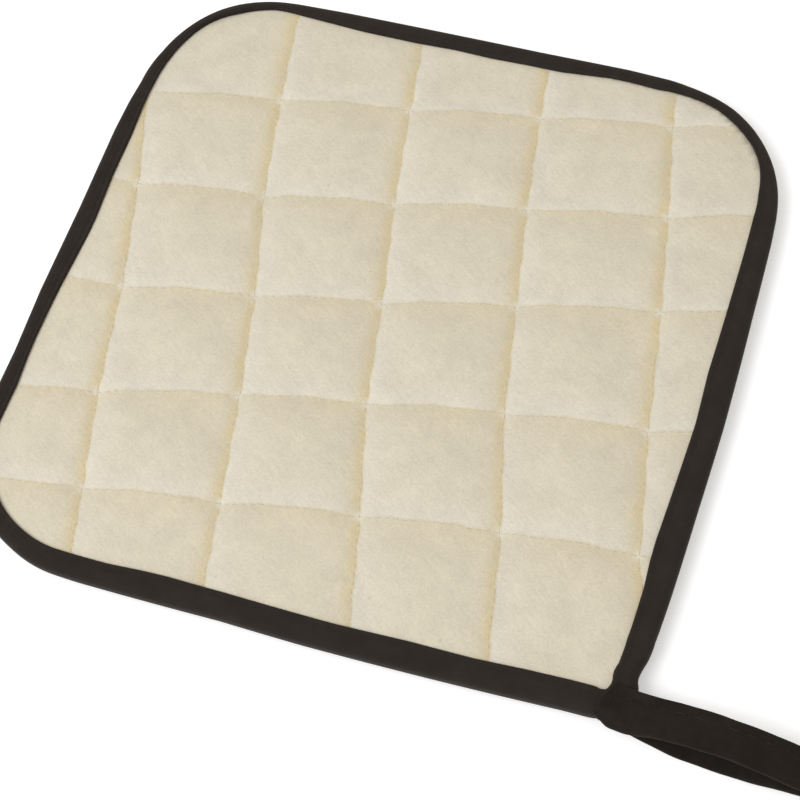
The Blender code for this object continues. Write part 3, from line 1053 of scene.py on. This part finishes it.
def makeCover(name, node, side):
    # side is 1 for the front cover and -1 for the back one.
    x, y, column, row, faces = quiltGrid()
    puff, line = puffShares(column, row, x, y)
    face = "front" if side > 0 else "back"
    held = onLines(row) | onLines(column)
    held |= edgeDistance(x, y) < pad["tapeWidth"] - quilt["heldUnderTape"]
    base = padLevel + side * quilt["layersHalf"]
    height = quilt[face + "Puff"] * puff + quilt[face + "LineRise"] * line
    design = np.stack((x + padMiddle[0], y + padMiddle[1], base + side * height), 1)
    if side < 0:
        faces = faces[:, ::-1]
    piece = makeMesh(name, design, faces, np.stack((column, row), 1))
    start = design.copy()
    start[:, 2] = base + side * np.where(held, height, height * clothSim["startShare"])
    movePoints(piece, start)
    moved = swell(piece, held)
    change = smoothed(moved - design, held, faces, clothSim["smoothing"])
    length = np.linalg.norm(change, axis=1)
    most, mean = length.max() / mm, (side * change[:, 2]).mean() / mm
    print(f"  cloth moved from the plan by up to {most:.2f} mm, mean {mean:.3f}")
    share = np.where(length > clothSim["cap"], clothSim["cap"] / np.maximum(length, 1e-9), 1)
    design = design + change * share[:, None]
    if side < 0:
        design[:, 2] = np.maximum(design[:, 2], quilt["lowest"])
    movePoints(piece, design)
    wall = piece.modifiers.new("cloth", "SOLIDIFY")
    wall.thickness = quilt["clothThickness"]
    wall.offset = -1
    applied(piece)
    piece.data.materials.append(cottonCloth)
    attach(piece, "root")
    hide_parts(node)
    print("pot holder:", name, "made,", len(piece.data.polygons), "faces")
    return design, faces, (column, row)


frontPoints, frontFaces, quiltLines = makeCover("quiltedFront", "front_cover", 1)
backPoints = makeCover("quiltedBack", "back_cover", -1)[0]

filling = {
    "gap": 0.25 * mm,
    "leastHalf": 0.1 * mm,
}


def makeWadding():
    # The filling between the two covers, from the same points as they have.
    top, bottom = frontPoints.copy(), backPoints.copy()
    gap = quilt["clothThickness"] + filling["gap"]
    top[:, 2] -= gap
    bottom[:, 2] += gap
    middle = (top[:, 2] + bottom[:, 2]) / 2
    top[:, 2] = np.maximum(top[:, 2], middle + filling["leastHalf"])
    bottom[:, 2] = np.minimum(bottom[:, 2], middle - filling["leastHalf"])
    count = len(top)
    edges = faceEdges(frontFaces)
    _, index, uses = np.unique(
        np.sort(edges, axis=1), axis=0, return_index=True, return_counts=True
    )
    rim = edges[index[uses == 1]]
    wall = np.stack((rim[:, 1], rim[:, 0], rim[:, 0] + count, rim[:, 1] + count), 1)
    faces = np.concatenate((frontFaces, frontFaces[:, ::-1] + count, wall))
    piece = makeMesh("waddingFill", np.concatenate((top, bottom)), faces)
    piece.data.materials.append(waddingFibre)
    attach(piece, "root")
    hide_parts("wadding")
    print("pot holder: wadding made")


makeWadding()

quiltStitch = {
    "spacing": 2.5 * mm, "length": 1.9 * mm, "thickness": 0.26 * mm, "unevenness": 0.15, "seed": 5,
}
quiltingSeam = {
    "underTape": 1.0 * mm,
    "sink": 0.02 * mm,
}


def quiltingPaths(design, side):
    # The quilting lines over a cover, from under the tape on one side to the other.
    column, row = quiltLines
    inside = edgeDistance(design[:, 0] - padMiddle[0], design[:, 1] - padMiddle[1])
    shown = inside > pad["tapeWidth"] - quiltingSeam["underTape"]
    paths = []
    for own, other in ((row, column), (column, row)):
        for index in range(lastLine + 1):
            onLine = np.nonzero((np.abs(own - index) < 1e-6) & shown)[0]
            path = design[onLine[np.argsort(other[onLine])]].copy()
            path[:, 2] -= side * quiltingSeam["sink"]
            paths.append(path)
    return paths


frontPaths, backPaths = quiltingPaths(frontPoints, 1), quiltingPaths(backPoints, -1)
sew("frontQuilting", frontPaths, quiltStitch, cottonThread)
sew("backQuilting", backPaths, quiltStitch, cottonThread)


def tapeProfile(width, seamRise):
    # The folded tape from its edge on one face to the middle of the fold, as inset from
    # the outline and height over the middle. Each row has one value for every station.
    half = tapeHalf
    radius = tape["foldRadius"]
    insets = [width - over * mm for over, drop in tape["edgeRound"]]
    heights = [half - drop * mm + 0 * width for over, drop in tape["edgeRound"]]
    # Where the tape is narrow, its seam lies nearer to its edge.
    squeeze = np.minimum(1, (width - radius) / tape["seamRoom"])
    seam = width - tape["seamInset"] * squeeze
    for over in tape["seamPoints"]:
        dip = tape["seamDepth"] * math.exp(-((over * mm / tape["seamSpread"]) ** 2))
        insets.append(seam - over * mm * squeeze)
        heights.append(half - dip + seamRise)
    start = seam - tape["seamEnd"] * squeeze
    for share in np.linspace(0, 1, 6):
        insets.append(start + (radius - start) * share)
        heights.append(half + tape["crown"] * math.sin(math.pi * share) + seamRise * (1 - share))
    for angle in np.radians((15, 30, 45, 60, 75, 90)):
        insets.append(radius * (1 - math.sin(angle)) + 0 * width)
        heights.append(half - radius * (1 - math.cos(angle)) + 0 * width)
    return insets, heights


def tapeInside(width):
    # The tape's inner face, from its edge on one face to the middle of the fold.
    inner = tapeHalf - tape["thickness"]
    radius = tape["foldRadius"] - tape["thickness"]
    insets = [width - tape["tuck"], width * tape["tuckShare"], tape["foldRadius"] + 0 * width]
    heights = [inner, inner, inner]
    for angle in np.radians((35, 65, 90)):
        insets.append(tape["thickness"] + radius * (1 - math.sin(angle)) + 0 * width)
        heights.append(inner - radius * (1 - math.cos(angle)))
    return insets, [height + 0 * width for height in heights]


def makeBinding():
    points, inward, narrowing, along = outlineStations(tape["spacing"])
    length = along[-1]
    at = along[:-1]
    bend = narrowing / max(tape["narrowing"])
    pinch = pad["pinch"] * tape["backPinch"] * pinchShare(points[:, 0], points[:, 1])
    outer, inner = [], []
    for side, seed in ((1, 11), (-1, 12)):
        # Each wave goes once round the pad.
        if side > 0:
            width = tableValue(tape["frontWidths"], at)
        else:
            width = pad["tapeWidth"] - narrowing - pinch
            width = width + tape["edgeWave"] * wave(at, length, 4 * (length,), seed)
        rise = tape["ripple"] * wave(at, length, 4 * (length,), seed + 4)
        rise += tape["gather"] * bend * wave(at, length, 3 * (length,), seed + 8)
        for found, (insets, heights) in (
            (outer, tapeProfile(width, rise)), (inner, tapeInside(width))
        ):
            found.append((insets, [side * height for height in heights]))
    (frontInsets, frontHeights), (backInsets, backHeights) = outer
    insets = frontInsets + [0 * at - tape["foldSwell"]] + backInsets[::-1]
    heights = frontHeights + [0 * at] + backHeights[::-1]
    shift = tableValue(tape["outlineShifts"], at)
    insets = [inset - shift * np.clip(1 - inset / tape["shiftReach"], 0, 1) for inset in insets]
    (frontInsets, frontHeights), (backInsets, backHeights) = inner
    insets = np.stack(insets + backInsets + frontInsets[::-1], 1)
    heights = np.stack(heights + backHeights + frontHeights[::-1], 1)
    flat = points[:, None, :] + inward[:, None, :] * insets[:, :, None]
    x, y = bowed(flat[..., 0], flat[..., 1])
    shape = np.stack((x + padMiddle[0], y + padMiddle[1], padLevel + heights), 2)
    steps = np.cumsum(np.hypot(np.diff(insets.mean(0)), np.diff(heights.mean(0))))
    across = np.concatenate(((0,), steps, (steps[-1] + 1 * mm,)))
    piece = sweep("bindingTape", shape, along, across, True)
    piece.data.materials.append(tapeCloth)
    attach(piece, "root")
    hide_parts("edge_binding")
    print("pot holder: binding made,", len(piece.data.polygons), "faces")
    # The seams run in the middle of the dip on each face.
    seamAt = len(tape["edgeRound"]) + len(tape["seamPoints"]) // 2
    seams = []
    for number, side in ((seamAt, 1), (2 * len(outer[0][0]) - seamAt, -1)):
        path = shape[:, number].copy()
        path[:, 2] += side * tape["threadLift"]
        seams.append(np.concatenate((path, path[:1])))
    return seams


sew("bindingSeam", makeBinding(), tape["stitch"], tapeThread)

# The hanging loop, a strap of folded tape, as in the frame's hanging_loop
strap = {
    "thickness": 1.6 * mm,
    "width": 10.9 * mm,
    "nearShift": 0.2 * mm,
    "overlap": 8.5 * mm,
    "fromFront": 2.75 * mm,
    "turn": -4.3,
    "tailShift": 2.8 * mm,
    "tailReach": 16 * mm,
    "reach": 54 * mm,
    "tipRadius": 1.15 * mm,
    "tipHeight": 7.3 * mm,
    "liftStart": 24 * mm,
    "arch": 4.9 * mm,
    "archRoundness": 1.3,
    "clearance": 0.3 * mm,
    # The open edge, in mm: the slit between the two layers and a layer's inner corner as
    # distances in from the edge and heights, the rounding as distances in and down, and
    # the points of the seam's dip from its middle
    "edgeSlit": ((1.9, -0.05), (2.1, 0.0), (1.9, 0.05)),
    "edgeLayer": (0.02, 0.1),
    "edgeRound": ((0.0, 0.3), (0.1, 0.08), (0.35, 0.0), (0.9, 0.0), (1.5, 0.0)),
    "seamPoints": (-0.8, -0.45, -0.2, 0.0, 0.2, 0.45, 0.8, 1.3),
    "seamInset": 2.8 * mm,
    "seamDepth": 0.24 * mm,
    "seamSpread": 0.42 * mm,
    "crown": 0.1 * mm,
    # Uneven edges and soft dents, as shares of the size and lengths of their waves
    "edgeUnevenness": 0.02,
    "edgeWaves": (31 * mm, 17 * mm, 11 * mm),
    "faceUnevenness": 0.1,
    "faceWaves": (13 * mm, 8.3 * mm, 5.9 * mm),
    "faceDrift": 0.8,
    "roll": 7.0,
    "lowerRoll": 0.15,
    "droop": 3.2 * mm,
    "droopAlong": (11 * mm, 12 * mm),
    "droopAcross": (1.2 * mm, 0.6 * mm),
    "endStep": 0.1 * mm,
    "stepAlong": (1.2 * mm, 1.6 * mm),
    "floorGap": 0.06 * mm,
    "pucker": {
        "out": 1.6 * mm, "across": 2.6 * mm, "depth": 0.5 * mm, "size": 0.72 * mm, "stretch": 1.8,
    },
    "endSlant": 1.9 * mm,
    "slantStart": 2 * mm,
    "endTaper": 1.8 * mm,
    "taperLength": 4.6 * mm,
    "endRound": (0.97, 0.97, 0.6),
    "threadLift": 0.04 * mm,
    "threadRoom": 0.65,
    "seamStart": -1.5 * mm,
    "stitch": {
        "spacing": 4.6 * mm, "length": 2.9 * mm, "thickness": 0.44 * mm,
        "unevenness": 0.25, "seed": 8,
    },
    "tackPlace": -5.6 * mm,
    "tackEnds": (-2.4 * mm, 3.4 * mm),
    "tackLift": 0.06 * mm,
    "tack": {
        "spacing": 1.5 * mm, "length": 1.35 * mm, "thickness": 0.26 * mm,
        "unevenness": 0.2, "seed": 9,
    },
}


def strapPath():
    # The strap's middle line as distance out, shift back and height, with a 1 where
    # the upper run is and a 0 on the lower one.
    half = strap["thickness"] / 2
    upper = padLevel + tapeHalf + strap["clearance"] + half
    tip = strap["reach"] - strap["tipRadius"] - half
    tipBottom = strap["tipHeight"] - strap["tipRadius"]
    tipTop = strap["tipHeight"] + strap["tipRadius"]
    run = np.linspace(-strap["overlap"], tip, 66)
    shift = strap["tailShift"] * (
        1 - smooth((run + strap["overlap"]) / (strap["tailReach"] + strap["overlap"]))
    )
    lift = smooth((run - strap["liftStart"]) / (tip - strap["liftStart"]))
    lower = np.stack((run, shift, half + (tipBottom - half) * lift, 0 * run), 1)
    angle = np.linspace(0, np.pi, 13)[1:-1]
    out = tip + strap["tipRadius"] * np.sin(angle)
    up = tipBottom + strap["tipRadius"] * (1 - np.cos(angle))
    fold = np.stack((out, 0 * angle, up, angle / np.pi), 1)
    back = run[::-1]
    share = np.clip(back / tip, 0, 1)
    arch = strap["arch"] * np.sin(np.pi * share) ** strap["archRoundness"]
    high = upper + (tipTop - upper) * smooth(share) + arch
    return np.concatenate((lower, fold, np.stack((back, 0 * back, high, 1 + 0 * back), 1)))


def strapSection():
    # Across the folded strap: its fold on the near side, two edges on the far one.
    half = strap["width"] / 2
    thick = strap["thickness"] / 2
    seam = half - strap["seamInset"]
    over, up = strap["edgeLayer"]
    top = [(half - over * mm, up * mm)]
    top += [(half - over * mm, thick - drop * mm) for over, drop in strap["edgeRound"]]
    for over in strap["seamPoints"]:
        dip = strap["seamDepth"] * math.exp(-((over * mm / strap["seamSpread"]) ** 2))
        top.append((seam - over * mm, thick - dip))
    start = top[-1][0]
    for share in np.linspace(0, 1, 8)[1:]:
        rise = strap["crown"] * math.sin(math.pi * share)
        top.append((start + (-half + thick - start) * share, thick + rise))
    for angle in np.radians((25, 50, 72)):
        top.append((-half + thick * (1 - math.sin(angle)), thick * math.cos(angle)))
    slit = [(half - over * mm, up * mm) for over, up in strap["edgeSlit"]]
    return np.array(top + [(-half, 0.0)] + [(across, -up) for across, up in reversed(top)] + slit)


def makeLoop():
    path = strapPath()
    section = strapSection()
    out, shift, height, isUpper = (path[:, k : k + 1] for k in range(4))
    half = strap["width"] / 2
    turn = math.radians(strap["turn"])
    outward = np.array((math.cos(turn), math.sin(turn), 0.0))
    sideways = np.array((-outward[1], outward[0], 0.0))
    upward = np.array((0, 0, 1.0))
    cornerX = padMiddle[0] + pad["width"] / 2
    cornerY = padMiddle[1] - pad["depth"] / 2 + strap["fromFront"]
    flow = np.gradient(path[:, (0, 2)], axis=0)
    flow /= np.linalg.norm(flow, axis=1)[:, None]
    # The two ends lie flat on the corner and under it.
    flow = np.where(out < 0, np.where(isUpper > 0, (-1, 0), (1, 0)), flow)
    over = -flow[:, 1:2] * outward + flow[:, 0:1] * upward
    middle = np.array((cornerX, cornerY, 0.0)) + out * outward + shift * sideways
    middle[:, 2] = height[:, 0]
    steps = np.linalg.norm(np.diff(middle, axis=0), axis=1)
    along = np.concatenate(((0,), np.cumsum(steps)))
    at = along[:, None]
    uneven = wave(at, along[-1], strap["edgeWaves"], 41)
    across = section[:, 0] * (1 + strap["edgeUnevenness"] * uneven)
    uneven = wave(at + across * strap["faceDrift"], along[-1], strap["faceWaves"], 42)
    up = section[:, 1] * (1 + strap["faceUnevenness"] * uneven)
    # A pucker where the seam of the pad's corner pulls at the upper strand
    pucker = strap["pucker"]
    away = ((out - pucker["out"]) / pucker["stretch"]) ** 2 + (across - pucker["across"]) ** 2
    dent = pucker["depth"] * np.exp(-away / pucker["size"] ** 2)
    up = np.where((isUpper > 0.5) & (up < 0), up + dent, up)
    roll = np.radians(strap["roll"]) * np.sin(np.pi * np.clip(out / strap["reach"], 0, 1))
    roll = roll * np.where(isUpper > 0.5, 1, strap["lowerRoll"])
    middle -= strap["nearShift"] * sideways
    points = middle[:, None, :] + across[:, :, None] * sideways + up[:, :, None] * over[:, None, :]
    points[:, :, 2] -= across * np.sin(roll)
    # The end on top of the corner is cut at a slant and tapers on its near side.
    slantRoom = strap["overlap"] - strap["slantStart"]
    slant = isUpper * smooth((-out - strap["slantStart"]) / slantRoom)
    inset = slant * strap["endSlant"] * smooth(across / half)
    points += inset[:, :, None] * outward
    taper = isUpper * smooth(1 - (out + strap["overlap"]) / strap["taperLength"])
    inset = strap["endTaper"] * taper * smooth(-across / half)
    points += inset[:, :, None] * sideways
    # One more turn of tape lies there, drooping over the edge.
    start, room = strap["stepAlong"]
    onCorner = isUpper * smooth((start - out) / room)
    points[:, :, 2] += onCorner * strap["endStep"] * np.where(up < 0, 1, 0)
    start, room = strap["droopAcross"]
    near = smooth((-across - start) / (half - room))
    start, room = strap["droopAlong"]
    hang = isUpper * smooth((start - out) / room)
    points[:, :, 2] -= hang * strap["droop"] * near
    for end in (0, -1):
        centre = points[end].mean(0)
        points[end] = centre + (points[end] - centre) * np.array(strap["endRound"])
    points[:, :, 2] = np.maximum(points[:, :, 2], strap["floorGap"])
    span = np.hypot(*np.diff(section, axis=0).T)
    acrossMap = np.concatenate(((0,), np.cumsum(span), (span.sum() + 0.2 * mm,)))
    piece = sweep("loopStrap", points, along, acrossMap, False)
    piece.data.materials.append(strapCloth)
    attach(piece, "root")
    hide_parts("hanging_loop")
    print("pot holder: loop made,", len(piece.data.polygons), "faces")
    # The seam along the far edge on the outer and the inner face
    slit = len(strap["edgeSlit"])
    seamAt = 1 + len(strap["edgeRound"]) + strap["seamPoints"].index(0.0)
    underAt = len(section) - slit - 1 - seamAt
    shown = path[:, 0] > strap["seamStart"]
    seams = []
    for number, sign in ((seamAt, 1), (underAt, -1)):
        line = points[shown][:, number] + sign * strap["threadLift"] * over[shown]
        line[:, 2] = np.maximum(line[:, 2], strap["stitch"]["thickness"] * strap["threadRoom"])
        seams.append(line)
    # A bar tack across the end on top
    row = np.argmin(np.abs(path[:, 0] - strap["tackPlace"]) + (path[:, 3] < 0.5))
    topSide = np.arange(len(section) // 2 + 1, len(section) - slit)
    topSide = topSide[np.argsort(section[topSide, 0])]
    low, high = strap["tackEnds"]
    kept = topSide[(section[topSide, 0] > low) & (section[topSide, 0] < high)]
    tack = points[row][kept] + strap["tackLift"] * upward
    return seams, tack


loopSeams, loopTack = makeLoop()
sew("loopSeam", loopSeams, strap["stitch"], strapThread)
sew("loopTack", [loopTack], strap["tack"], strapThread)

# Floor, lamps and world
studio = {
    "floorHalf": 3.0,
    "floorColour": 0.92,
    "floorLift": 0.34,
    "keyPower": 23.5,
    "keySize": 1.2,
    "keyPlace": (-0.93, -0.96, 1.59),
    "keyColour": (0.97, 1.0, 1.06),
    "worldStrength": 0.62,
    "worldColour": (1.0, 0.972, 0.92),
}


def seenDirectly(tree):
    # 1 for what the camera sees itself or in a mirror or a glass.
    rays = tree.nodes.new("ShaderNodeLightPath")
    seen = maths(tree, "MAXIMUM", rays.outputs["Is Camera Ray"], rays.outputs["Is Glossy Ray"])
    return maths(tree, "MAXIMUM", seen, rays.outputs["Is Transmission Ray"])


def makeFloorPaint():
    # Pale paint that the camera sees a touch lighter, so that it reaches white.
    material, tree, shader = startMaterial("floorPaint", 1.0, 0.0)
    shader.inputs["Base Color"].default_value = (*(studio["floorColour"],) * 3, 1)
    shader.inputs["Emission Color"].default_value = (1, 1, 1, 1)
    lift = maths(tree, "MULTIPLY", seenDirectly(tree), studio["floorLift"])
    tree.links.new(lift, shader.inputs["Emission Strength"])
    return material


def makeStudio():
    mesh = bpy.data.meshes.new("floor")
    half = studio["floorHalf"]
    corners = [(-half, -half, 0), (half, -half, 0), (half, half, 0), (-half, half, 0)]
    mesh.from_pydata(corners, [], [(0, 1, 2, 3)])
    mesh.materials.append(makeFloorPaint())
    addObject("floor", mesh)
    lamp = bpy.data.lights.new("keyLamp", "AREA")
    lamp.energy = studio["keyPower"]
    lamp.color = studio["keyColour"]
    lamp.size = studio["keySize"]
    holder = addObject("keyLamp", lamp)
    holder.location = studio["keyPlace"]
    aim = Vector((padMiddle[0], padMiddle[1], 0)) - holder.location
    holder.rotation_euler = aim.to_track_quat("-Z", "Y").to_euler()
    world = bpy.data.worlds.new("studioWorld")
    world.use_nodes = True
    tree = world.node_tree
    background = tree.nodes["Background"]
    seen = seenDirectly(tree)
    colour = mixed(tree, seen, studio["worldColour"], (1.0, 1.0, 1.0))
    tree.links.new(colour, background.inputs["Color"])
    weak = studio["worldStrength"]
    strength = maths(tree, "MULTIPLY_ADD", seen, 1 - weak, weak)
    tree.links.new(strength, background.inputs["Strength"])
    scene.world = world


makeStudio()
scene.view_settings.view_transform = "Standard"
print("pot holder: studio set")
